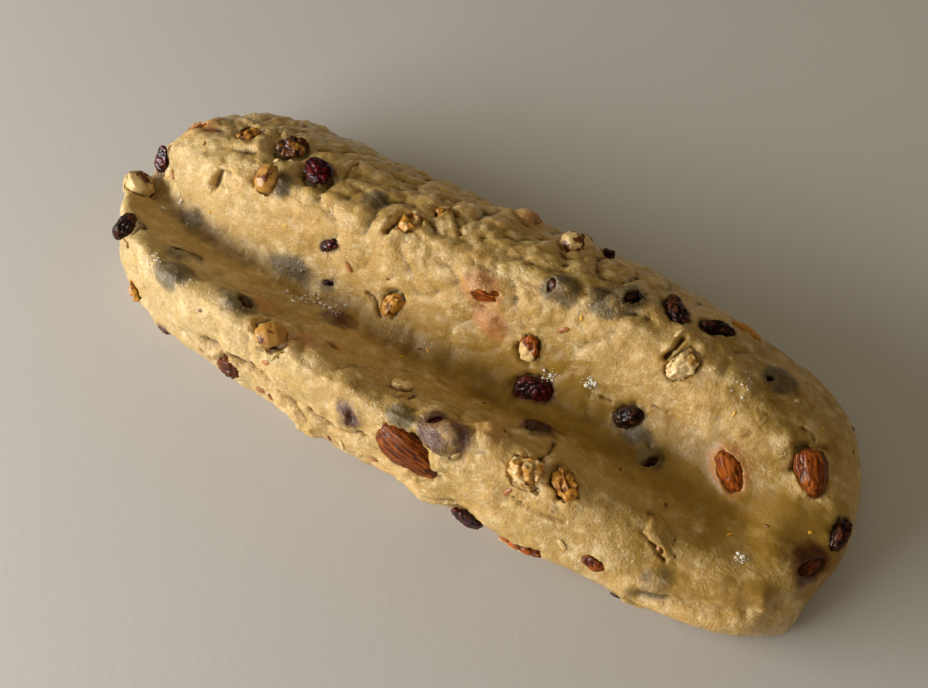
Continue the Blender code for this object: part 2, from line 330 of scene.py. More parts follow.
# %% Ovals under the dough
def oval(turn, sides, place, outward, detail=3):
    """A closed oval lying flat to the skin at a place."""
    east = np.array((1.0, 0, 0)) - outward[0] * outward
    east /= np.linalg.norm(east)
    north = np.cross(outward, east)
    along = cos(radians(turn)) * east + sin(radians(turn)) * north
    ball = bmesh.new()
    bmesh.ops.create_icosphere(ball, subdivisions=detail, radius=0.5)
    points = np.array([vertex.co[:] for vertex in ball.verts]) * sides
    faces = [tuple(vertex.index for vertex in face.verts) for face in ball.faces]
    ball.free()
    return points @ np.stack([along, np.cross(outward, along), outward]) + place, faces


loaf_tree = BVHTree.FromPolygons(loaf_points.tolist(), loaf_faces)


def on_loaf(place):
    """The nearest point of the plain loaf, and the way out of it there."""
    point, normal, _, _ = loaf_tree.find_nearest(Vector(place))
    return np.array(point), np.array(normal)


FILM = 0.7  # how much each fruit is grown before the skin is made over it, in millimetres
RAISED = 1.2  # how far a covered fruit stands out of the plain loaf, in millimetres
buried = []
for kind, place, turn, sides in BURIED:
    point, outward = on_loaf(place)
    points, faces = oval(turn, sides, point - outward * (0.5 * sides[2] - RAISED), outward)
    buried.append((kind, points, faces))
print(len(buried), "covered pieces")

# %% [markdown]
# ## Where the dough opens
#
# Most pieces stand out of the dough as stones do from sand. Over some, the dough stays as a thin
# film and opens only in a slit, a crescent or a ragged round. A boolean could cut such a window,
# but its edge would be as sharp as a cut in card. Here each opening is an oval in its piece's own
# axes, as shares of the piece's half length and half width, and noise makes its edge ragged.

# %% Openings over the fruit
OPENINGS = {
    # shift along and across, reach along and across
    "raisin_02": ((0.1, 0.45, 0.9, 0.32),),
    "raisin_03": ((0.35, 0.1, 0.5, 0.6),),
    "raisin_05": ((-0.6, 0.1, 0.25, 0.75),),
    "raisin_06": ((0.1, -0.35, 0.85, 0.5),),
    "raisin_10": ((-0.65, 0.25, 0.22, 0.34),),
    "raisin_13": ((-0.1, -0.55, 0.8, 0.4),),
    "cranberry_05": ((0.0, 0.0, 0.95, 0.9),),
    "cranberry_06": ((-0.5, 0.15, 0.22, 0.5),),
    "almond_02": ((0.0, 0.0, 0.95, 0.9),),
    "almond_04": ((0.1, -0.55, 0.8, 0.4),),
    "almond_05": ((0.25, -0.35, 0.7, 0.6), (0.75, 0.3, 0.3, 0.25)),
    "almond_06": ((0.75, 0.0, 0.25, 0.5),),
    "almond_chip_05": ((-0.2, -0.2, 0.7, 0.6),),
    "hazelnut_05": ((0.75, 0.0, 0.25, 0.7),),
    "hazelnut_06": ((-0.2, 0.95, 0.6, 0.25),),
}
print(len(OPENINGS), "filmed pieces,", sum(map(len, OPENINGS.values())), "openings")

# %% Measure from an opening
RAGGED = 0.16  # how uneven an opening's edge is, as a share of its reach


def opening_distance(local, half, opening, seed):
    """0 in the middle of an opening, 1 at its ragged edge, more outside it."""
    shift_along, shift_across, along, across = opening
    a = (local[:, 0] / half[0] - shift_along) / along
    b = (local[:, 1] / half[1] - shift_across) / across
    ragged = lumps(local, 2.2, seed) + 0.5 * lumps(local, 1.0, seed)
    return np.hypot(a, b) * (1 + RAGGED * ragged)


def nearest_opening(local, name, seed):
    half = lies[name].half
    choices = [opening_distance(local, half, each, seed) for each in OPENINGS[name]]
    return np.min(choices, axis=0)


def around(points, name, room):
    """Which points lie over a piece or within room millimetres of it."""
    lie = lies[name]
    local = lie.local(points)
    beside = (np.abs(local[:, :2]) < lie.half[:2] + room).all(axis=1)
    over = (local[:, 2] > -lie.half[2] - 1) & (local[:, 2] < lie.half[2] + 7)
    return np.flatnonzero(beside & over)


print("corners of the plain loaf round the whole almond:", len(around(loaf_points, "almond_01", 3)))

# %% [markdown]
# ## The skin of the loaf
#
# The plain loaf has a socket for each fruit. Real dough has none: it wraps the fruit. So the loaf
# and every fruit, grown a little, are remade by voxels as one closed skin. A filmed piece is used
# whole, so the skin rises over it, and a bare one is cut off level with the dough, so it only fills
# its socket. Easing takes the voxel steps away. The faces that show are then divided once, which
# leaves the underside coarse and saves half of the mesh for the top.

# %% Joined, grown and level
def joined(parts):
    points, faces, start = [], [], 0
    for some, their_faces in parts:
        points.append(some)
        faces += [tuple(corner + start for corner in face) for face in their_faces]
        start += len(some)
    return np.concatenate(points), faces


def grown(points, faces, by):
    return points + normals_of(points, faces) * by, faces


def sheet_terms(local):
    a, b = local[:, 0], local[:, 1]
    return np.stack([a * 0 + 1, a, b, a * a, b * b], axis=1)


def level_sheet(name):
    """The plain loaf's level round a piece, in its own axes, as the terms of a curved sheet."""
    lie = lies[name]
    down = Vector(-lie.axes[2])
    rim = []
    for room in (1.8, 3.5):
        for turn in np.linspace(0, 2 * pi, 20, endpoint=False):
            flat = (lie.half[:2] + room) * (cos(turn), sin(turn))
            start = lie.world(np.array([*flat, 8.0]))
            hit, normal = loaf_tree.ray_cast(Vector(start), down, 16)[:2]
            if hit is not None and normal.dot(down) < -0.3:
                rim.append(lie.local(np.array(hit)))
    rim = np.array(rim)
    return np.linalg.lstsq(sheet_terms(rim), rim[:, 2], rcond=None)[0]


print("level beside the whole almond, in its axes:", level_sheet("almond_01").round(3))

# %% The first skin
SKIN_MESH = 2.1  # width of the first faces, in millimetres
TABLE_FADE = 5  # height over which work on the skin fades out towards the table, in millimetres


def plug(name):
    """A bare piece, grown and cut off at the dough's level, to fill its socket."""
    lie = lies[name]
    points, faces = grown(*plain[name], FILM)
    local = lie.local(points)
    local[:, 2] = np.minimum(local[:, 2], sheet_terms(local) @ level_sheet(name))
    return lie.world(local), faces


parts = [(loaf_points, loaf_faces)]
parts += [grown(*plain[name], FILM) if name in OPENINGS else plug(name) for name in fruit_names]
parts += [grown(points, faces, FILM) for _, points, faces in buried]
skin_points, skin_faces = remeshed(*joined(parts), SKIN_MESH)
skin_points = eased(skin_points, edges_of(skin_faces), 4, step(0.5, TABLE_FADE, skin_points[:, 2:]))
print("first skin:", len(skin_faces), "faces")

# %% Smaller faces where the skin shows
def divided(points, faces, chosen):
    """Each chosen face cut into four, and its neighbours kept joined to it."""
    work = bmesh.new()
    work.from_mesh(mesh_of("work", points, faces))
    work.faces.ensure_lookup_table()
    edges = {edge for index in np.flatnonzero(chosen) for edge in work.faces[index].edges}
    bmesh.ops.subdivide_edges(work, edges=list(edges), cuts=1, use_grid_fill=True)
    bmesh.ops.triangulate(work, faces=[face for face in work.faces if len(face.verts) > 4])
    made = bpy.data.meshes.new("divided")
    work.to_mesh(made)
    work.free()
    return arrays_of(made)


def middles(points, faces):
    return np.array([points[list(face)].mean(axis=0) for face in faces])


off_table = middles(skin_points, skin_faces)[:, 2] > 1.5
skin_points, skin_faces = divided(skin_points, skin_faces, off_table)
skin_points = eased(skin_points, edges_of(skin_faces), 2, step(0.5, 3, skin_points[:, 2:]))
print("divided skin:", len(skin_faces), "faces")

# %% [markdown]
# ## Clefts, torn seams and lumps
#
# Where the dough was folded over fruit it did not always close. It keeps narrow clefts, dark
# inside, with one edge raised, and small lumps of its own. Noise alone would scatter them evenly,
# and a folded loaf has them in certain places, so they are listed here: a cleft is a line of places
# with a width, a depth and a lip, and a lump is a place with a reach and a height, all in
# millimetres. The skin gets smaller faces along the clefts and at the edges of openings, so that a
# narrow one stays sharp.

# %% Clefts
CLEFTS = (
    # width, depth, lip, then the places it runs through
    (2.6, 3.0, 0.6, ((-104, -6, 36), (-101, -4, 42), (-95, -5, 42))),
    (1.2, 1.4, 0.4, ((-64, 18, 45), (-66, 24, 42), (-66, 28, 40))),
    (1.5, 1.3, 0.5, ((-25, 24, 45), (-19, 21, 47), (-15, 17, 48))),
    (1.4, 1.8, 0.3, ((-37, -7, 25), (-34, -8, 24), (-29, -10, 22))),
    (3.2, 3.4, 1.6, ((-60, -52, 21), (-52, -52, 21), (-43, -52, 21), (-36, -53, 18), (-28, -53, 14))),
    (4.4, 4.0, 0.8, ((-72, -52, 20), (-67, -52, 20))),
    (2.4, 3.4, 0.3, ((-11, -51, 29), (-10, -51, 27))),
    (1.8, 2.0, 0.6, ((-26, -52, 20), (-19, -53, 18), (-13, -53, 19), (-6, -52, 22))),
    (1.6, 3.2, 0.5, ((64, 15, 42), (65, 19, 45), (66, 24, 45))),
    (1.0, 1.0, 0.3, ((67, 6, 28), (72, 6, 29))),
    (1.0, 1.2, 0.3, ((50, 3, 23), (54, 3, 23))),
    (1.6, 2.0, 0.6, ((85, -27, 26), (88, -32, 27), (91, -35, 26), (96, -37, 24))),
    (1.1, 1.0, 0.3, ((48, -47, 28), (52, -47, 27))),
    (1.6, 0.9, 0.4, ((54, -47, 28), (59, -46, 27), (65, -45, 27))),
    (1.1, 1.2, 0.4, ((111, 22, 34), (114, 22, 32), (116, 22, 32))),
    (3.4, 2.0, 0.3, ((113, 16, 33), (116, 20, 32), (120, 23, 30))),
    (1.4, 1.6, 0.5, ((49, -34, 36), (50, -30, 34), (48, -23, 27))),
    (4.6, 2.2, 2.2, ((94, -46, 13), (108, -42, 16), (124, -35, 18))),
    (1.8, 1.4, 0.7, ((-84, -51, 17), (-66, -54, 11), (-52, -54, 9), (-40, -55, 10), (-25, -55, 11))),
    (1.8, 1.2, 0.6, ((-5, -55, 12), (8, -55, 12), (21, -54, 12), (30, -53, 15))),
    (2.2, 2.6, 0.4, ((-36, 5, 47), (-36, 9, 48), (-35, 14, 48))),
    (2.4, 2.4, 0.4, ((-53, -48, 37), (-54, -43, 37), (-53, -39, 34))),
    (1.4, 2.0, 0.5, ((-50, -50, 31), (-44, -50, 32), (-40, -47, 36))),
    (1.2, 1.6, 0.3, ((0, -50, 30), (5, -47, 33), (12, -46, 34))),
    (1.6, 2.2, 0.3, ((-2, -38, 33), (1, -36, 32), (1, -33, 28))),
    (2.4, 2.4, 0.5, ((57, -34, 35), (59, -36, 36), (62, -41, 34))),
)
print(len(CLEFTS), "clefts, the widest", max(cleft[0] for cleft in CLEFTS), "mm")

# %% Lumps and dents
LUMPS = (
    # place, reach, and height, or depth where it is below 0
    ((-8, 40, 38), 6, 1.6),
    ((32, -34, 36), 5.5, 1.8),
    ((65, 27, 45), 3, 1.1),
    ((110, 17, 34), 3, 1.0),
    ((47, -41, 37), 4, 0.8),
    ((19, -54, 12), 8, 2.4),
    ((-24, -54, 14), 4.5, 1.6),
    ((22, -50, 27), 3.0, 1.2),
    ((-40, -53, 24), 5, 1.3),
    ((-15, -52, 25), 4.5, 2.2),
    ((-30, -51, 30), 6, 1.4),
    ((-80, -50, 24), 8, 1.2),
    ((-30, -53, 11), 6, 1.5),
    ((80, -46, 24), 8, 1.2),
    ((112, -38, 27), 9, 1.5),
    ((118, -3, 22), 7, 2.0),
    ((121, -12, 21), 7, 2.4),
    ((125, -21, 22), 7, 2.4),
    ((132, -28, 16), 9, -4.0),
    ((137, -18, 16), 9, -3.5),
    ((131, -25, 5), 6, 3.5),
    ((127, -30, 27), 4.5, 2.0),
    ((133, -21, 27), 4.5, 2.0),
    ((-128, 20, 40), 7, 1.2),
    ((-100, 22, 42), 9, 1.3),
    ((-118, -2, 28), 7, 1.0),
    ((85, 20, 40), 9, 1.3),
    ((105, -12, 24), 8, -1.0),
    ((20, -12, 17), 10, -1.0),
    ((-15, 25, 46), 9, 1.0),
)
print(len(LUMPS), "lumps and dents")

# %% Distance from a cleft
def from_line(points, places):
    """Distance of each point from a line of places, and which side of it the point is on."""
    best = np.full(len(points), 1e9)
    side = np.zeros(len(points))
    for start, end in zip(np.array(places[:-1], float), np.array(places[1:], float)):
        run = end - start
        share = np.clip((points - start) @ run / (run @ run), 0, 1)
        off = points - start - share[:, None] * run
        distance = np.linalg.norm(off, axis=1)
        closer = distance < best
        best[closer] = distance[closer]
        side[closer] = np.sign(np.cross(run, off[closer])[:, 2])
    return best, side


def on_skin(places):
    return [on_loaf(place)[0] for place in places]


clefts = [(width, depth, lip, on_skin(places)) for width, depth, lip, places in CLEFTS]
print("places that the clefts run through:", sum(len(places) for *_, places in clefts))

# %% Finer faces where the skin opens or splits
at = middles(skin_points, skin_faces)
edge_faces = np.zeros(len(at), bool)
for seed, name in enumerate(fruit_names):
    near = around(at, name, 2.5)
    local = lies[name].local(at[near])
    if name in OPENINGS:
        distance = nearest_opening(local, name, seed)
        edge_faces[near[(distance > 0.6) & (distance < 1.15)]] = True
    else:
        distance = np.hypot(*(local / (lies[name].half + 0.8)).T[:2])
        edge_faces[near[(distance > 0.7) & (distance < 1.1)]] = True
for width, _, _, places in clefts:
    edge_faces[from_line(at, places)[0] < width + 0.8] = True
print("faces at the edges of openings:", edge_faces.sum())
skin_points, skin_faces = divided(skin_points, skin_faces, edge_faces)
print("skin now:", sum(len(face) - 2 for face in skin_faces), "triangles")

# %% [markdown]
# ## The dough's own relief
#
# Hand-shaped dough is never smooth. It has broad swells from the fingers, soft cushions over
# hidden fruit with narrow valleys between them, and a fine crumbly grain. The groove was pressed
# with a wet hand, so it is calmer. Each layer is noise along the surface's normals, and all of
# them fade out towards the table so that the loaf still stands flat.

# %% Swells, cushions and grain
GROOVE_ENDS = ((-50, 50), (-13, -5))  # the groove's line: x, and y there, in millimetres


def cushions(points, size, seed):
    """Rounded mounds with narrow valleys between them."""
    return np.minimum(2.2 * np.abs(lumps(points, size, seed)), 1) ** 0.6


def in_groove(points, near, far):
    """1 along the groove's line, fading over a width on its near side and another on its far."""
    off = points[:, 1] - np.interp(points[:, 0], *GROOVE_ENDS)
    return np.exp(-((off / np.where(off < 0, near, far)) ** 2))


def liveliness(points):
    """How rough the dough is: less in the groove, on the near flank and towards the +X end."""
    calm = 0.45 * step(40, 95, points[:, 0]) + 0.35 * step(-36, -50, points[:, 1])
    calm += 0.5 * step(70, 95, points[:, 0]) * step(22, 14, points[:, 2])
    pressed = 1 - 0.75 * in_groove(points, 24, 12)
    patchy = 1.0 + 0.4 * lumps(points, 26, 9)
    crumbled = 1 + 0.3 * step(-4, 8, points[:, 1]) * step(60, 20, points[:, 0])
    return pressed * (1 - np.minimum(calm, 0.85)) * patchy * crumbled


def relief_of(points):
    """Height of the dough's own relief at each point, in millimetres."""
    swells = 0.6 * lumps(points, 24, 1)
    mounds = 1.5 * (cushions(points, 15, 2) - 0.6) + 0.7 * (cushions(points, 7, 3) - 0.6)
    dents = -0.4 * creases(points * (0.7, 1, 1), 9, 4)
    grain = 0.38 * lumps(points, 4.2, 5) + 0.30 * lumps(points, 2.3, 6)
    return swells + (mounds + dents + grain) * liveliness(points)


relief = relief_of(skin_points)
print("swells and cushions run from %.1f to %.1f mm" % (relief.min(), relief.max()))

# %% Clefts and lumps added
JITTER = 0.35  # how far a cleft wanders, as a share of its width


def split_and_raised(points):
    """Depth of the clefts and height of their lips and of the lumps at each point."""
    total = np.zeros(len(points))
    for seed, (width, depth, lip, places) in enumerate(clefts):
        bent = points + JITTER * min(width, 2.0) * np.stack([lumps(points, 3, seed)] * 3, axis=1)
        distance, side = from_line(bent, places)
        total -= depth * np.exp(-((distance / (0.5 * width)) ** 2))
        beside = np.exp(-(((distance - 1.1 * width) / (0.6 * width)) ** 2))
        total += 0.5 * lip * beside * (0.6 + 0.4 * side)
    for place, reach, height in LUMPS:
        total += height * np.exp(-(np.linalg.norm(points - on_loaf(place)[0], axis=1) / reach) ** 2)
    return total


skin_normals = normals_of(skin_points, skin_faces)
standing = step(0.2, TABLE_FADE, skin_points[:, 2])
relief += split_and_raised(skin_points)
skin_points = skin_points + skin_normals * (relief * standing)[:, None]
print("relief runs from %.1f to %.1f mm" % (relief.min(), relief.max()))

# %% [markdown]
# ## Laying the skin over the fruit
#
# Now the skin meets each piece. A shrinkwrap modifier could pull it onto a film, but it can't leave
# openings. Seen in the piece's own axes, a point of skin over it is lifted to a film's thickness
# above it, or, inside an opening, let down below it so that the fruit shows. Where an opening
# reaches past the fruit, the skin drops to make the gap. A low lip stands round each edge, because
# torn dough shrinks back and thickens. Round a bare piece the dough creeps up its sides unevenly,
# and on one side many have a dark gap, where the dough came away as the loaf was turned.

# %% Where dough draws back from a piece
LOW = {  # how much lower than usual the dough stands round a piece, in millimetres
    "cranberry_02": 2.0,
    "walnut_01": 1.8,
    "cranberry_01": 0.6,
    "raisin_01": 0.8,
    "hazelnut_01": 0.8,
    "cranberry_04": 0.6,
    "cranberry_07": 0.6,
    "walnut_06": 0.4,
    "walnut_08": 0.4,
    "raisin_07": 0.4,
}
GAPS = {  # dark gaps beside bare pieces: the way each lies from the piece, turned from +X, and its depth
    "hazelnut_03": (-40, 2.6),
    "hazelnut_02": (170, 1.6),
    "hazelnut_01": (60, 2.0),
    "hazelnut_04": (-150, 1.6),
    "almond_chip_01": (-100, 2.4),
    "almond_chip_02": (120, 2.2),
    "almond_01": (60, 1.4),
    "almond_03": (150, 2.0),
    "almond_02": (-60, 0.8),
    "cranberry_02": (-120, 1.6),
    "cranberry_04": (170, 1.2),
    "cranberry_03": (-60, 0.8),
    "cranberry_07": (110, 1.2),
    "walnut_01": (-70, 1.4),
    "walnut_02": (150, 1.2),
    "walnut_03": (180, 2.2),
    "walnut_04": (200, 1.4),
    "walnut_05": (100, 2.0),
    "walnut_06": (30, 2.0),
    "walnut_07": (160, 2.2),
    "walnut_08": (120, 2.2),
    "walnut_chip_01": (170, 1.4),
    "raisin_01": (0, 1.2),
    "raisin_07": (-140, 0.8),
    "raisin_08": (-120, 0.8),
    "raisin_09": (120, 1.0),
    "raisin_11": (150, 1.0),
}
print(len(LOW), "pieces stand freer than the rest, and", len(GAPS), "have a dark gap beside them")

# %% Heights above a piece
def heights_over(local, points, faces):
    """Height of a surface above each point, all in a piece's own axes; nan where there is none."""
    tree = BVHTree.FromPolygons(points.tolist(), faces)
    down = Vector((0, 0, -1))
    hits = [tree.ray_cast(Vector((a, b, 30.0)), down)[0] for a, b in local[:, :2]]
    return np.array([np.nan if hit is None else hit.z for hit in hits])


almond = lies["almond_01"].local(plain["almond_01"][0])
top = heights_over(np.zeros((1, 3)), almond, plain["almond_01"][1])[0]
print("the whole almond's top is %.1f mm above its middle" % top)

# %% Dough round a bare piece
UNDER = 1.2  # how far below a fruit's surface the skin passes where the fruit shows
GAP_WIDTH = 1.5


def gap_beside(local, name, seed):
    """How deep the gap beside a piece is at each point: a crescent against one of its sides."""
    turn, depth = GAPS.get(name, (0, 0))
    lie = lies[name]
    way = lie.axes[:2] @ (cos(radians(turn)), sin(radians(turn)), 0)
    way /= np.linalg.norm(way)
    away = np.maximum(np.hypot(*local.T[:2]), 0.01)
    out = np.maximum(np.hypot(*(local / lie.half).T[:2]), 0.01)
    beyond = np.maximum((out - 1) / out * away, 0)
    ragged = 1 + 0.5 * lumps(local, 2.5, seed + 80)
    crescent = step(0.15, 0.8, local[:, :2] @ way / away) * np.exp(-((beyond / GAP_WIDTH) ** 2))
    return depth * ragged * crescent


def stand_out(local, height, name, seed):
    """Skin round a bare piece: it creeps up the sides unevenly and passes under the rest."""
    half = lies[name].half
    creep = 0.3 + 0.3 * half[2] * lumps(local, 5.5, seed + 50) + 0.5 * lumps(local, 2.0, seed + 60)
    near = np.exp(-np.maximum(np.hypot(*(local / half).T[:2]) - 1, 0) * 4)
    level = local[:, 2] + (creep - LOW.get(name, 0)) * near - gap_beside(local, name, seed)
    under = np.where(np.isnan(height), -1, height - level)
    return level - UNDER * step(0, 0.7, under)


print("skin passes %.1f mm under each bare top" % UNDER)

# %% Dough over a filmed piece
THIN_FILM = 0.42  # usual thickness of dough over a filmed piece, in millimetres
LIP = 0.18  # usual height of the lip round an opening


def film_over(local, height, carved_height, name, seed):
    """Skin over a filmed piece: a film's thickness above it, and below it inside the opening."""
    distance = nearest_opening(local, name, seed)
    film = THIN_FILM + 0.25 * lumps(local, 3, seed + 70)
    edge = np.exp(-(((distance - 1.15) / 0.15) ** 2))
    lip = LIP * (1 + 2 * lumps(local, 4, seed + 90)) * edge
    covered = np.fmax(np.fmax(local[:, 2], height + film), carved_height + 0.2) + lip
    bare = np.fmin(local[:, 2] - 0.8, height - UNDER)
    opened = 1 - step(0.80, 1.06, distance)
    return covered + opened * (bare - covered)


print("films are about %.2f mm thick, with lips of %.2f mm" % (THIN_FILM, LIP))

# %% Lay the skin over every piece
def lay_over(points, name, seed):
    lie = lies[name]
    near = around(points, name, 3)
    local = lie.local(points[near])
    height = heights_over(local, lie.local(plain[name][0]), plain[name][1])
    if name in OPENINGS:
        carved_height = heights_over(local, lie.local(carved[name][0]), carved[name][1])
        local[:, 2] = film_over(local, height, carved_height, name, seed)
    else:
        local[:, 2] = stand_out(local, height, name, seed)
    points[near] = lie.world(local)


for seed, name in enumerate(fruit_names):
    lay_over(skin_points, name, seed)
skin_points[:, 2] = np.maximum(skin_points[:, 2], 0)
print("skin box:", skin_points.min(axis=0).round(1), skin_points.max(axis=0).round(1))

# %% [markdown]
# ## What the skin shows through
#
# Raw butter dough is translucent. A raisin under a thin film looks grey-blue, a cranberry purple
# and a nut pinkish orange. So each point of the skin keeps how thinly it covers each sort of
# fruit. Light through real thickness could do this too, but it would need hours for each picture.
# The skin also keeps how far it lies below its surroundings, so that the finish can paint hollows darker,
# as painted shade.

# %% Tints of the fruit below
TINTS = {  # what doesn't tint as nut does, by kind or by single piece
    "raisin": "film_raisin",
    "cranberry": "film_berry",
    "almond_04": "film_berry",
}
tints = {name: np.zeros(len(skin_points)) for name in ("film_raisin", "film_berry", "film_nut")}


def tint_of(kind):
    return TINTS.get(kind, "film_nut")


def tint_from(tree, kind, near, reach, share=1):
    tint = tints[tint_of(kind)]
    for index in near:
        hit = tree.find_nearest(Vector(skin_points[index]), reach)
        if hit[0] is not None:
            tint[index] = max(tint[index], share * (1 - hit[3] / reach))


# how far the colour of a filmed, a bare and a covered piece reaches, in millimetres
FILMED_REACH, BARE_REACH, COVERED_REACH = 3.9, 2.4, 3.2
BARE_NUT, BARE_FRUIT = 0.15, 0.7  # how strongly a bare piece tints its rim

for name in fruit_names:
    points, faces, _ = carved[name]
    tree = BVHTree.FromPolygons(points.tolist(), faces)
    kind = name if name in TINTS else kinds[name]
    over = around(skin_points, name, 3)
    if name in OPENINGS:
        tint_from(tree, kind, over, FILMED_REACH)
    else:
        tint_from(tree, kind, over, BARE_REACH, BARE_NUT if tint_of(kind) == "film_nut" else BARE_FRUIT)
for kind, points, faces in buried:
    tree = BVHTree.FromPolygons(points.tolist(), faces)
    close = np.linalg.norm(skin_points - points.mean(axis=0), axis=1) < 14
    tint_from(tree, kind, np.flatnonzero(close), COVERED_REACH)
print("tinted points:", {name: int((tint > 0.05).sum()) for name, tint in tints.items()})

# %% How hollow each place is
HOLLOW_ROUNDS = 14  # each round compares a point with its surroundings a little further out

skin_edges = edges_of(skin_faces)
calm = skin_points
for _ in range(HOLLOW_ROUNDS):
    calm = between_neighbours(calm, skin_edges)
hollow = ((calm - skin_points) * normals_of(calm, skin_faces)).sum(axis=1)
print("hollow runs from %.1f to %.1f mm" % (hollow.min(), hollow.max()))

# %% [markdown]
# ## Painted shade, painted light and wet spots
#
# A shaped loaf isn't one even dough. Along the groove and at the +X end its colour is painted deeper
# and darker, as painted shade, and the dough there is smoother and less glossy. The near flank and
# the -X end are painted paler, as painted light. Here and there a bead of butter or syrup makes one
# small wet spot. Each of these is a number from 0 to 1 at every point, worked out from the point's
# place, so that the finish can blend from one to the next without a seam.

# %% Painted shade, painted light and wet spots
def keep(mesh, name, values):
    """Keeps one number, or one vector, with each point of a mesh."""
    values = np.asarray(values, np.float32)
    kind = "FLOAT" if values.ndim == 1 else "FLOAT_VECTOR"
    field = mesh.attributes.new(name, kind, "POINT")
    field.data.foreach_set("value" if values.ndim == 1 else "vector", values.ravel())


WET = (  # small wet places in the dough
    (80, 20, 42), (86, 17, 39), (91, 20, 39), (96, 24, 38), (99, 24, 37), (99, 16, 36), (109, 11, 32),
    (96, 11, 33), (11, 17, 49), (-106, -39, 34), (-109, -8, 22), (-88, -15, 19), (-47, -17, 19),
    (26, -47, 33),
)
WET_REACH = 2.2


def wetness(points):
    """1 in the middle of each wet place, fading away from it."""
    nearest = np.min([np.linalg.norm(points - on_loaf(place)[0], axis=1) for place in WET], axis=0)
    return np.exp(-((nearest / WET_REACH) ** 2))


def shade_and_smoothness(points):
    """Painted shade and smoother dough: strongest along the groove, more so towards +X, and at the +X end
    above its foot.
    """
    along, _, height = points.T
    pressed = in_groove(points, 17, 13) * (0.45 * step(-95, -60, along) + 0.55 * step(-30, 30, along))
    return np.maximum(pressed, 0.5 * step(45, 95, along) * (0.3 + 0.7 * step(12, 22, height)))


def painted_light_share(points):
    """Painted light: paler dough, strongest on the near flank and at the -X end."""
    along, across, _ = points.T
    return 0.8 * step(40, -110, along) * step(-20, -45, across) + 0.6 * step(-30, -120, along)


CONDITION = {
    # painted shade in hollows
    "hollow": hollow,
    # painted shade along the groove and at the +X end, where the dough is also smoother
    "groove": shade_and_smoothness(skin_points),
    # painted light: paler dough on the near flank and the -X end
    "painted_light": painted_light_share(skin_points),
    "wet": wetness(skin_points),
}
for name, values in CONDITION.items():
    print(name, "is %.2f on average, %.2f at most" % (values.mean(), values.max()))

# %% The loaf's skin as an object
def shown(name, points, faces):
    """A smooth object of these points and faces, in the scene."""
    made = bpy.data.objects.new(name, mesh_of(name, points, faces))
    made.data.shade_smooth()
    bpy.context.scene.collection.objects.link(made)
    return made


dough = shown("dough_skin", skin_points, skin_faces)
for name, values in (tints | CONDITION).items():
    keep(dough.data, name, values)
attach(dough, "root")
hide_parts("dough")
print("numbers kept with each point of dough:", ", ".join(tints | CONDITION))

# %% [markdown]
# ## A short way to write finishes
#
# Every finish below is a Principled shader fed by noise and by the numbers kept with the mesh.
# Painted images would need unwrapped meshes, and would blur up close. Noise has no size limit.
# These classes make each node and its links in one call, so that a finish reads as a recipe.
# Colours are written as they look, from 0 to 255, and are turned into the light values that
# Blender works in. Sizes of noise are in millimetres.

# %% Paint, nodes and links
def paint(red, green, blue):
    """A colour as it looks, 0 to 255 each, in Blender's linear light."""
    shares = (red, green, blue)
    return tuple(((c / 255 + 0.055) / 1.055) ** 2.4 if c > 10 else c / 3294.6 for c in shares) + (1,)


class Shader:
    """A new material's main shader, and short ways to make nodes and join them to it."""

    def __init__(self, name, **sockets):
        self.material = bpy.data.materials.new(name)
        self.material.use_nodes = True
        self.tree = self.material.node_tree
        self.shader = self.tree.nodes["Principled BSDF"]
        self.mm = self.node("ShaderNodeVectorMath", operation="SCALE")
        self.tree.links.new(self.node("ShaderNodeTexCoord").outputs["Object"], self.mm.inputs[0])
        self.mm.inputs["Scale"].default_value = 1000
        for socket, value in sockets.items():
            self.set(socket, value)

    def node(self, kind, **settings):
        made = self.tree.nodes.new(kind)
        for key, value in settings.items():
            setattr(made, key, value)
        return made

    def feed(self, socket, value):
        if isinstance(value, bpy.types.NodeSocket):
            self.tree.links.new(value, socket)
        else:
            socket.default_value = value

    def set(self, socket, value):
        self.feed(self.shader.inputs[socket.replace("_", " ")], value)

    def kept(self, name, vector=False):
        made = self.node("ShaderNodeAttribute", attribute_name=name)
        return made.outputs["Vector" if vector else "Fac"]

    def stretched(self, share, vector=None):
        made = self.node("ShaderNodeVectorMath", operation="MULTIPLY")
        self.feed(made.inputs[0], self.mm.outputs[0] if vector is None else vector)
        made.inputs[1].default_value = share
        return made.outputs[0]


print("butter yellow in linear light:", [round(part, 3) for part in paint(203, 164, 92)])

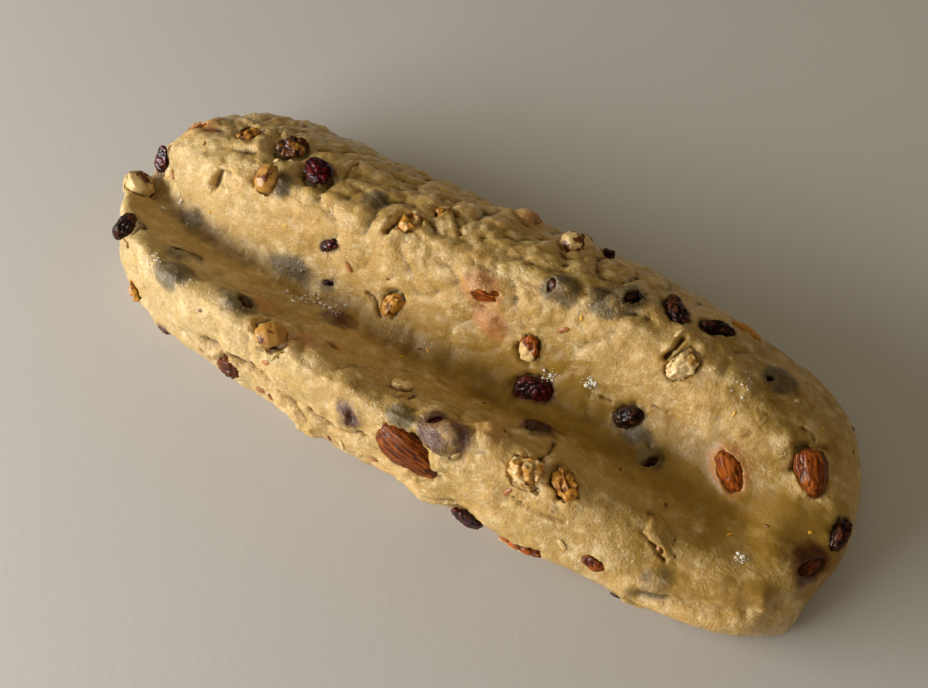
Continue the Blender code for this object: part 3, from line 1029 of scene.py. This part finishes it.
# %% Noise, sums, blends and bumps
class Finish(Shader):
    """A material as a recipe: patterns in millimetres, sums and blends of them, and bumps."""

    def noise(self, size, detail=3.0, rough=0.55, vector=None):
        made = self.node("ShaderNodeTexNoise")
        self.feed(made.inputs["Vector"], self.mm.outputs[0] if vector is None else vector)
        for socket, value in (("Scale", 1 / size), ("Detail", detail), ("Roughness", rough)):
            made.inputs[socket].default_value = value
        return made.outputs["Fac"]

    def cells(self, size):
        made = self.node("ShaderNodeTexVoronoi")
        self.feed(made.inputs["Vector"], self.mm.outputs[0])
        made.inputs["Scale"].default_value = 1 / size
        return made.outputs["Distance"]

    def math(self, operation, a, b=0.0):
        made = self.node("ShaderNodeMath", operation=operation)
        self.feed(made.inputs[0], a)
        self.feed(made.inputs[1], b)
        return made.outputs[0]

    def rise(self, value, low, high, bottom=0.0, top=1.0):
        """bottom below low, top above high, smooth between."""
        made = self.node("ShaderNodeMapRange", interpolation_type="SMOOTHSTEP")
        for socket, given in zip(made.inputs[:5], (value, low, high, bottom, top)):
            self.feed(socket, given)
        return made.outputs[0]

    def mix(self, share, a, b):
        made = self.node("ShaderNodeMix", data_type="RGBA")
        for socket, given in ((made.inputs[0], share), (made.inputs[6], a), (made.inputs[7], b)):
            self.feed(socket, given)
        return made.outputs[2]

    def bump(self, *layers):
        """Layers of (height 0 to 1, depth in mm)."""
        under = None
        for height, depth in layers:
            made = self.node("ShaderNodeBump")
            made.inputs["Distance"].default_value = depth * MM
            self.feed(made.inputs["Height"], height)
            if under is not None:
                self.feed(made.inputs["Normal"], under)
            under = made.outputs["Normal"]
        self.set("Normal", under)

    def bump_coat(self, height, depth):
        """One more layer, for the coat of gloss alone."""
        made = self.node("ShaderNodeBump")
        made.inputs["Distance"].default_value = depth * MM
        self.feed(made.inputs["Height"], height)
        self.feed(made.inputs["Normal"], self.shader.inputs["Normal"].links[0].from_socket)
        self.set("Coat Normal", made.outputs["Normal"])


print("a finish can use:", ", ".join(name for name in vars(Finish) if name[0] != "_"))

# %% [markdown]
# ## Raw dough
#
# Raw stollen dough is pale gold, waxy with butter, and speckled by its grain. Light enters it a
# few millimetres, so thin edges and the walls of tears glow yellow. Its colour is laid in coats:
# two butter yellows in patches, a paler tone as painted light on the near flank and the -X end,
# creamy and brown specks, pale specks that are partly grains of sugar and partly painted glints
# where the dough isn't in painted shade, an olive gold as painted shade along the groove and at the
# +X end, a dark deep yellow as painted shade in hollows, and last the tints of fruit under a film.

# %% The colour of the dough
raw = Finish("raw_dough", Subsurface_Weight=0.6, Subsurface_Scale=0.0022, Coat_Roughness=0.1, IOR=1.45)
raw.shader.inputs["Subsurface Radius"].default_value = (1.0, 0.6, 0.2)
base = raw.mix(raw.rise(raw.noise(18, 2), 0.35, 0.65), paint(183, 148, 76), paint(203, 164, 92))
# painted light: a paler tone on the near flank and the -X end
base = raw.mix(raw.rise(raw.kept("painted_light"), 0.0, 1.0, 0.0, 0.7), base, paint(196, 168, 110))
base = raw.mix(raw.rise(raw.noise(5, 4, 0.6), 0.45, 0.75), base, paint(226, 198, 144))
base = raw.mix(raw.rise(raw.noise(1.3, 3, 0.6), 0.60, 0.72, 0.0, 0.5), base, paint(170, 126, 52))
# the mask of painted shade along the groove and at the +X end, where the dough is also smoother and less
# glossy
wavy = raw.rise(raw.noise(9, 3), 0.3, 0.7, -0.25, 0.25)
shaded_and_smooth = raw.rise(raw.math("ADD", raw.kept("groove"), wavy), 0.2, 0.9, 0.0, 0.9)
crumbly_and_lit = raw.math("SUBTRACT", 1.0, shaded_and_smooth)
# pale specks, partly grains of sugar and partly painted glints, kept out of the painted shade
sugar_and_glints = raw.math("MULTIPLY", raw.rise(raw.noise(1.2, 3, 0.65), 0.56, 0.74, 0.0, 0.7), crumbly_and_lit)
base = raw.mix(sugar_and_glints, base, paint(240, 220, 172))
# painted shade: olive gold along the groove and at the +X end
base = raw.mix(shaded_and_smooth, base, paint(142, 107, 28))
# painted shade: a dark deep yellow in hollows
base = raw.mix(raw.rise(raw.kept("hollow"), 0.05, 1.1, 0.0, 0.95), base, paint(98, 60, 8))
ragged = raw.rise(raw.noise(4.0, 4, 0.6), 0.25, 0.75, -0.25, 0.15)
for name, tint, most in (
    ("film_nut", paint(190, 124, 76), 0.6),
    ("film_berry", paint(80, 38, 34), 0.9),
    ("film_raisin", paint(84, 72, 50), 0.82),
):
    share = raw.rise(raw.math("ADD", raw.kept(name), ragged), 0.05, 0.85, 0.0, most)
    base = raw.mix(share, base, tint)
raw.set("Base Color", base)
print("nodes in the colour of the dough:", len(raw.tree.nodes))

# %% [markdown]
# ## The gloss of the dough
#
# Butter makes a soft coat of gloss on dough, in patches. Where the crumb is rough, away from the
# smooth groove and +X end, tiny domes of it catch the light as separate glints, so the coat has a
# bump of its own made from round cells. A wet spot is the smoothest of all.

# %% The gloss and grain of the dough
wet = raw.kept("wet")
satin = raw.rise(raw.noise(4, 4), 0.3, 0.7, 0.32, 0.54)
raw.set("Roughness", raw.math("MULTIPLY", satin, raw.rise(wet, 0.2, 0.7, 1.0, 0.25)))
buttery = raw.rise(raw.noise(7, 2), 0.38, 0.62, 0.3, 1.0)
raw.set("Coat Weight", raw.math("MULTIPLY", buttery, raw.rise(shaded_and_smooth, 0, 0.6, 1.0, 0.08)))
rough = raw.math("ADD", raw.rise(shaded_and_smooth, 0.0, 0.8, 1.0, 0.35), raw.rise(wet, 0.2, 0.8, 0.0, 1.5))
raw.bump(
    (raw.math("MULTIPLY", raw.noise(2.0, 3, 0.6), rough), 0.45),
    (raw.math("MULTIPLY", raw.noise(0.8, 3, 0.65), rough), 0.45),
)
dome = raw.cells(1.0)
patches = raw.rise(raw.noise(3.5, 3, 0.6), 0.4, 0.6, 0.2, 1.0)
domes = raw.math("MULTIPLY", raw.math("MULTIPLY", dome, dome), patches)
raw.bump_coat(raw.math("MULTIPLY", domes, crumbly_and_lit), 0.8)
dough.data.materials.append(raw.material)
print("nodes in the whole finish:", len(raw.tree.nodes))

# %% [markdown]
# ## Dried fruit
#
# A raisin is near black with a soft bloom and glints on its folds. A cranberry is deep red and
# glossy. Both are so dark that a bright sheen would turn them grey, so their own reflection is
# turned down and a thin clear coat makes the glints. The depth of relief kept with each mesh makes
# every furrow darker than its ridges, as painted shade.

# %% Finishes of dried fruit
def finish_of_raisin():
    made = Finish("raisin_skin", IOR=1.48, Specular_IOR_Level=0.12, Coat_Weight=0.35, Coat_Roughness=0.08)
    # painted shade: the skin is darker in the furrows and lighter on the ridges, by the depth of relief
    lit_ridges = made.math("MULTIPLY", made.kept("relief"), made.noise(2.0, 3))
    skin = made.mix(made.rise(lit_ridges, 0.15, 0.6), paint(26, 11, 6), paint(88, 46, 26))
    bloom = made.rise(made.noise(1.6, 4, 0.65), 0.58, 0.72, 0.0, 0.12)
    made.set("Base Color", made.mix(bloom, skin, paint(120, 88, 72)))
    made.set("Roughness", made.rise(made.noise(1.5, 3), 0.3, 0.7, 0.3, 0.6))
    made.bump((made.noise(0.6, 3), 0.22), (made.cells(0.5), 0.1))
    return made


def finish_of_cranberry():
    juicy = {"Subsurface_Weight": 0.15, "Subsurface_Scale": 0.0015}
    gloss = {"Specular_IOR_Level": 0.25, "Coat_Weight": 0.55, "Coat_Roughness": 0.07}
    made = Finish("cranberry_skin", IOR=1.5, **gloss, **juicy)
    # painted shade: the skin is darker in the furrows and lighter on the ridges, by the depth of relief
    lit_ridges = made.math("MULTIPLY", made.kept("relief"), made.noise(2.4, 3))
    skin = made.mix(made.rise(lit_ridges, 0.12, 0.6), paint(34, 4, 7), paint(98, 14, 20))
    made.set("Base Color", skin)
    made.set("Roughness", made.rise(made.noise(1.5, 3), 0.3, 0.7, 0.25, 0.5))
    made.bump((made.noise(0.7, 3), 0.2), (made.cells(0.6), 0.08))
    return made


finishes = {"raisin": finish_of_raisin(), "cranberry": finish_of_cranberry()}
print("finishes so far:", ", ".join(finishes))

# %% [markdown]
# ## Nuts and peel
#
# An almond keeps a brown skin with fine long streaks, and shows cream where it is cut. A hazelnut
# is a tan or pale kernel with scraps of red-brown skin. A walnut runs from dark brown through gold
# to cream. Each piece has one number, its tone, that picks its place between those colours, so one
# finish does for every piece of a kind. Candied peel lets the light through.

# %% The finish of almonds
def finish_of_almond():
    made = Finish("almond_skin", IOR=1.45, Specular_IOR_Level=0.15, Coat_Weight=0.25, Coat_Roughness=0.08)
    grain = made.noise(0.9, 3, 0.6, made.stretched((0.15, 1, 1), made.kept("lie", True)))
    deep = made.mix(made.rise(grain, 0.35, 0.65), paint(60, 22, 3), paint(122, 60, 14))
    warm = made.mix(made.rise(grain, 0.35, 0.65), paint(112, 48, 8), paint(184, 98, 28))
    skin = made.mix(made.kept("tone"), deep, warm)
    skin = made.mix(made.rise(made.noise(5, 3), 0.45, 0.65, 0.0, 0.4), skin, paint(92, 38, 12))
    # painted shade: darker brown in the furrows, by the depth of relief
    skin = made.mix(made.rise(made.kept("relief"), 0.1, 0.6, 0.7, 0.0), skin, paint(44, 16, 5))
    cream = made.mix(made.noise(1.2, 3), paint(206, 166, 100), paint(224, 194, 138))
    made.set("Base Color", made.mix(made.kept("cut"), skin, cream))
    made.set("Roughness", made.rise(made.noise(1.0, 3), 0.3, 0.7, 0.35, 0.6))
    made.bump((grain, 0.16), (made.noise(0.5, 2), 0.06))
    return made


finishes["almond"] = finish_of_almond()
print("nodes in the almonds' finish:", len(finishes["almond"].tree.nodes))

# %% The finish of hazelnuts
def finish_of_hazelnut():
    waxy = {"Subsurface_Weight": 0.15, "Subsurface_Scale": 0.002}
    made = Finish("hazelnut_kernel", IOR=1.46, Coat_Weight=0.35, Coat_Roughness=0.2, **waxy)
    tan = made.mix(made.noise(2.4, 3), paint(174, 120, 42), paint(198, 148, 70))
    pale = made.mix(made.noise(2.4, 3), paint(204, 168, 104), paint(220, 190, 132))
    kernel = made.mix(made.kept("tone"), tan, pale)
    skin = made.mix(made.noise(0.8, 3), paint(84, 36, 12), paint(126, 66, 26))
    skinned = made.rise(made.noise(5.0, 4, 0.6), 0.56, 0.62)
    hollowed = made.rise(made.kept("relief"), 0.05, 0.3, 1.0, 0.0)
    brown = made.math("MAXIMUM", skinned, made.math("MULTIPLY", hollowed, made.kept("tone")))
    made.set("Base Color", made.mix(brown, kernel, skin))
    made.set("Roughness", made.rise(made.noise(1.0, 3), 0.3, 0.7, 0.35, 0.6))
    made.bump((made.noise(0.8, 3), 0.1))
    return made


finishes["hazelnut"] = finish_of_hazelnut()
print("nodes in the hazelnuts' finish:", len(finishes["hazelnut"].tree.nodes))

# %% Finishes of walnuts and peel
def finish_of_walnut():
    made = Finish("walnut_kernel", IOR=1.46, Specular_IOR_Level=0.3, Coat_Weight=0.45, Coat_Roughness=0.1)
    tone = made.math("ADD", made.kept("tone"), made.rise(made.noise(3.5, 3), 0.3, 0.7, -0.4, 0.4))
    # painted shade: each tone is darker in the furrows and lighter on the lobes, by the depth of relief
    dark = made.mix(made.kept("relief"), paint(40, 16, 4), paint(98, 50, 16))
    golden = made.mix(made.rise(made.kept("relief"), 0.0, 0.7), paint(124, 68, 8), paint(194, 134, 48))
    cream = made.mix(made.rise(made.kept("relief"), 0.0, 0.6), paint(190, 146, 76), paint(236, 206, 148))
    skin = made.mix(made.rise(tone, 0.1, 0.9), dark, golden)
    bare = made.rise(made.noise(6.0, 3), 0.56, 0.62, 1.0, 0.1)
    bare = made.math("MULTIPLY", made.rise(tone, 1.1, 1.8), bare)
    made.set("Base Color", made.mix(bare, skin, cream))
    made.set("Roughness", made.rise(made.noise(1.2, 3), 0.3, 0.7, 0.3, 0.55))
    made.bump((made.noise(0.9, 4), 0.2))
    return made


def finish_of_peel():
    clear = {"Subsurface_Weight": 0.5, "Subsurface_Scale": 0.003}
    made = Finish("candied_peel", IOR=1.48, Coat_Weight=0.5, Coat_Roughness=0.12, **clear)
    made.set("Base Color", made.mix(made.noise(1.8, 3), paint(176, 108, 14), paint(206, 150, 44)))
    made.set("Roughness", made.rise(made.noise(1.0, 3), 0.3, 0.7, 0.25, 0.5))
    made.bump((made.noise(0.7, 3), 0.15))
    return made


finishes["walnut"] = finish_of_walnut()
finishes["peel"] = finish_of_peel()
print(len(finishes), "finishes for fruit and nut")

# %% [markdown]
# ## Cut faces and tones
#
# A chopped almond shows a pale inside on one flat side. Which points are on that side is decided
# by how far they lie towards it, not by which way they face, because wrinkles face every way and
# would break the cut into spots. The tones are given for each piece.

# %% Cut faces and tones of single pieces
CUT_FACES = {
    # pieces with a pale cut face, and the way it looks in the loaf's frame
    "almond_chip_01": (-0.25, -0.95, -0.15),
    "almond_chip_03": (0.0, -0.5, -0.85),
}
TONES = {
    # walnut: 0 dark, 1 golden, 2 cream; almond: 0 dark, 1 orange; hazelnut: 0 tan, 1 pale
    "walnut_01": 0.15,
    "walnut_02": 0.7,
    "walnut_03": 1.2,
    "walnut_04": 0.8,
    "walnut_05": 1.1,
    "walnut_06": 1.4,
    "walnut_07": 0.8,
    "walnut_08": 2.0,
    "walnut_09": 0.8,
    "walnut_10": 0.5,
    "walnut_chip_01": 2.2,
    "almond_01": 0.35,
    "almond_02": 0.9,
    "almond_03": 0.8,
    "almond_05": 1.0,
    "almond_chip_01": 1.0,
    "almond_chip_03": 1.0,
    "almond_chip_04": 0.7,
    "almond_chip_05": 1.0,
    "hazelnut_01": 1.0,
    "hazelnut_04": 1.0,
    "hazelnut_05": 0.6,
}
print(len(CUT_FACES), "pieces with a cut face,", len(TONES), "with a tone of their own")

# %% The pieces themselves
def cut_share(name, points):
    """1 on a chopped piece's cut face, 0 on its skin."""
    if name not in CUT_FACES:
        return np.zeros(len(points))
    towards_cut = (points - points.mean(axis=0)) @ np.array(CUT_FACES[name])
    return step(0.6, 0.9, towards_cut + 0.4 * lumps(points, 3, 3))


for name in fruit_names:
    points, faces, relief = carved[name]
    piece = shown(name + "_carved", points, faces)
    keep(piece.data, "relief", relief)
    keep(piece.data, "lie", lies[name].local(points))
    keep(piece.data, "tone", np.full(len(points), TONES.get(name, 0.0)))
    keep(piece.data, "cut", cut_share(name, points))
    main_kind = kinds[name].split("_")[0]
    piece.data.materials.append(finishes[main_kind].material)
    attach(piece, "root")
    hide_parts(name)
print(len(fruit_names), "pieces shown")

# %% [markdown]
# ## Zest, scraps, slivers and flakes
#
# Small bits lie in the surface between the fruit: yellow zest, scraps of brown nut skin, and
# slivers and pale flakes of nut. Each is a small rounded body, bent by noise and partly sunk in
# whatever is nearest. Copying one mesh would be lighter, but no two real bits are alike. Bits of
# one sort are joined into one piece.

# %% A small bit, and many
ground_points, ground_faces = joined(
    [(skin_points, skin_faces)] + [carved[name][:2] for name in fruit_names]
)
surface = BVHTree.FromPolygons(ground_points.tolist(), ground_faces)


def bit(place, sides, turn, seed, detail, sunk=0.25):
    """A small rough body of these sides, lying on the surface nearest to a place."""
    point, normal = surface.find_nearest(Vector(place))[:2]
    outward = np.array(normal)
    points, faces = oval(turn, sides, np.array(point) + outward * sides[2] * (0.5 - sunk), outward, detail)
    size = 0.45 * min(sides[:2])
    uneven = np.stack([lumps(points, size, seed + axis) for axis in range(3)], axis=1)
    return points + 0.22 * size * uneven, faces


def bits_at(places, least, most, seed, sunk=0.25):
    """One bit at each place, with sides between least and most."""
    dice = np.random.default_rng(seed)
    return [
        bit(place, dice.uniform(least, most), dice.uniform(0, 180), seed + index, 3, sunk)
        for index, place in enumerate(places)
    ]


def scattered(name, finish, bits):
    """All the bits of one sort as one piece."""
    points, faces = joined(bits)
    made = shown(name, points, faces)
    made.data.materials.append(finish.material)
    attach(made, "root")
    print(name, len(bits), "bits,", len(faces), "faces")


print("bits can lie on", len(ground_faces), "faces")

# %% Finishes of the small bits
def two_toned(name, patch, tones, grain, detail, depth, **sockets):
    """A finish that drifts between two tones in patches, with a fine grain: sizes and depth in mm."""
    made = Finish(name, **sockets)
    made.set("Base Color", made.mix(made.noise(patch, 3), *tones))
    made.bump((made.noise(grain, detail), depth))
    return made


oily = {"Coat_Weight": 0.4, "Coat_Roughness": 0.2}
zest = two_toned("zest", 0.8, (paint(206, 146, 10), paint(226, 178, 40)), 0.4, 2, 0.08,
                 Roughness=0.45, Subsurface_Weight=0.3, Subsurface_Scale=0.001)
flour = two_toned("flour", 0.5, (paint(226, 218, 202), paint(240, 234, 220)), 0.2, 2, 0.04, Roughness=0.9)
husk = two_toned("nut_scraps", 0.9, (paint(96, 52, 16), paint(150, 92, 34)), 0.4, 3, 0.1,
                 Roughness=0.5, Coat_Weight=0.3, Coat_Roughness=0.2)
sliver = two_toned("nut_slivers", 1.4, (paint(132, 66, 20), paint(192, 126, 60)), 0.6, 3, 0.1,
                   Roughness=0.45, **oily)
pale_nut = two_toned("nut_flakes", 1.6, (paint(208, 172, 106), paint(228, 200, 142)), 0.6, 3, 0.1,
                     Roughness=0.45, **oily)
print("five more finishes, the last is", pale_nut.material.name)

# %% Zest, scraps, slivers and flakes
ZEST = (
    (-104, -10, 26), (-72, -6, 36), (-15, -18, 18), (-9, -11, 18), (35, 12, 44), (91, 13, 36),
    (116, 27, 31), (108, -17, 22), (128, -3, 22), (127, -19, 22), (68, -49, 19), (74, -2, 18),
)
SCRAPS = (
    (19, -19, 20), (-12, -12, 18), (117, -9, 21), (123, 40, 20), (127, 30, 23), (-116, 4, 42),
    (-75, -48, 32), (87, -20, 23), (98, -35, 24), (69, -17, 23), (-31, -3, 33), (-18, -55, 13),
)
SLIVERS = (
    (31, 8, 39), (-46, -5, 31), (-125, -5, 28), (-48, -54, 14), (-44, -54, 13), (-1, -54, 14),
    (-46, -50, 28), (46, -47, 29),
)
FLAKES = (
    (-98, 25, 39), (-88, 10, 45), (64, 24, 45), (47, -39, 37), (26, -46, 33), (105, 30, 34),
    (67, -48, 20), (-13, -55, 13),
)
scattered("zest_flecks", zest, bits_at(ZEST, (1.4, 0.8, 0.4), (2.4, 1.3, 0.6), 11))
scattered("brown_flecks", husk, bits_at(SCRAPS, (1.2, 0.7, 0.4), (2.2, 1.3, 0.6), 31))
scattered("nut_slivers", sliver, bits_at(SLIVERS, (3.4, 1.6, 0.8), (5.0, 2.4, 1.1), 51, 0.42))
scattered("nut_flakes", pale_nut, bits_at(FLAKES, (2.4, 1.4, 0.8), (4.4, 2.4, 1.2), 71))

# %% [markdown]
# ## Flour
#
# The board was floured, and a little of the flour came along in patches. Each grain is a lump of
# flour about a third of a millimetre wide. Lumps vary as real ones do, with many small ones and
# few large, which is what a log-normal draw gives.

# %% Grains of flour
FLOUR = (
    # place, reach of the patch, number of grains
    ((-123, -16, 21), 1.5, 10), ((-119, -10, 22), 3, 26), ((-111, -16, 20), 2, 10),
    ((-102, -42, 34), 4, 26), ((-83, -42, 35), 3, 12), ((-58, -18, 19), 8, 90),
    ((-46, -16, 19), 5, 50), ((45, 4, 26), 2.6, 80), ((115, -24, 23), 2.2, 40),
    ((32, 0, 23), 2.5, 40), ((91, 20, 39), 6, 24), ((24, -45, 36), 2, 8),
)
GRAIN, LARGEST_GRAIN = 0.3, 1.3

dice = np.random.default_rng(5)
grains = []
for place, reach, count in FLOUR:
    for offset in dice.normal(0, 0.5 * reach, (count, 3)):
        size = min(GRAIN * dice.lognormal(0, 0.6), LARGEST_GRAIN)
        sides = size * dice.uniform((1.2, 0.9, 0.6), (2.0, 1.2, 0.9))
        grains.append(bit(place + offset, sides, 0, len(grains), 1, 0.1))
scattered("flour_grains", flour, grains)

# %% [markdown]
# ## Floor, light and camera
#
# The loaf stands on a plain pale floor. The camera looks down at it from above its narrow ridge.
# One broad soft light comes in low from the camera's left, between the loaf's -X end and its near
# side, so that every bump has a lit and a shaded flank. A faint warm sky fills the shade. It isn't
# seen in reflections, because a second gloss from above would flatten the dough.

# %% Floor
FLOOR_REACH = 2000  # from the middle to each side, in millimetres
corners = np.array([(-1, -1, 0), (1, -1, 0), (1, 1, 0), (-1, 1, 0)])
floor = shown("floor", corners * FLOOR_REACH, [(0, 1, 2, 3)])
pale = Finish("pale_floor", Roughness=0.6)
pale.set("Base Color", pale.mix(pale.noise(60, 2), paint(194, 190, 187), paint(190, 187, 184)))
pale.bump((pale.noise(3, 3), 0.05))
floor.data.materials.append(pale.material)
print("floor:", 2 * FLOOR_REACH, "mm wide")

# %% Camera
AZIMUTH, ELEVATION = radians(34.2), radians(55)
LENS, SENSOR = 53.96, 36  # in millimetres
DISTANCE, AIM_HEIGHT, AIM_LEFT, AIM_DOWN = 0.4716, 0.018, 0.00166, 0.00105  # in metres
right = Vector((cos(AZIMUTH), sin(AZIMUTH), 0))
back = Vector((sin(AZIMUTH) * cos(ELEVATION), -cos(AZIMUTH) * cos(ELEVATION), sin(ELEVATION)))
up = back.cross(right)
aim = Vector((0, 0, AIM_HEIGHT)) - right * AIM_LEFT - up * AIM_DOWN
camera = bpy.data.objects.new("camera", bpy.data.cameras.new("camera"))
camera.data.sensor_width = SENSOR
camera.data.lens = LENS
camera.data.clip_start = 0.01
turned = Matrix((right, up, back)).transposed().to_4x4()
camera.matrix_world = Matrix.Translation(aim + back * DISTANCE) @ turned
bpy.context.scene.collection.objects.link(camera)
bpy.context.scene.camera = camera
print("camera at, in mm:", [round(part / MM) for part in camera.matrix_world.translation])

# %% Light
LIGHT_TURN, LIGHT_HEIGHT = radians(-14), radians(21)
LIGHT_DISTANCE = 0.9  # in metres
forward = Vector((-back.x, -back.y, 0)).normalized()
towards = (forward * sin(LIGHT_TURN) - right * cos(LIGHT_TURN)) * cos(LIGHT_HEIGHT)
towards.z = sin(LIGHT_HEIGHT)
window = bpy.data.lights.new("soft_window", "AREA")
window.shape = "RECTANGLE"
window.size, window.size_y = 1.0, 0.25
window.energy = 12.3
window.color = (1, 0.99, 0.97)
lamp = bpy.data.objects.new("soft_window", window)
lamp.location = towards * LIGHT_DISTANCE
lamp.rotation_euler = towards.to_track_quat("Z", "Y").to_euler()
bpy.context.scene.collection.objects.link(lamp)
sky = bpy.data.worlds.new("soft_sky")
sky.use_nodes = True
sky.node_tree.nodes["Background"].inputs["Color"].default_value = (1, 0.865, 0.6, 1)
sky.node_tree.nodes["Background"].inputs["Strength"].default_value = 0.3
sky.cycles_visibility.glossy = False
bpy.context.scene.world = sky
bpy.context.scene.view_settings.view_transform = "Standard"
print("window at, in mm:", [round(part / MM) for part in lamp.location])

# %% [markdown]
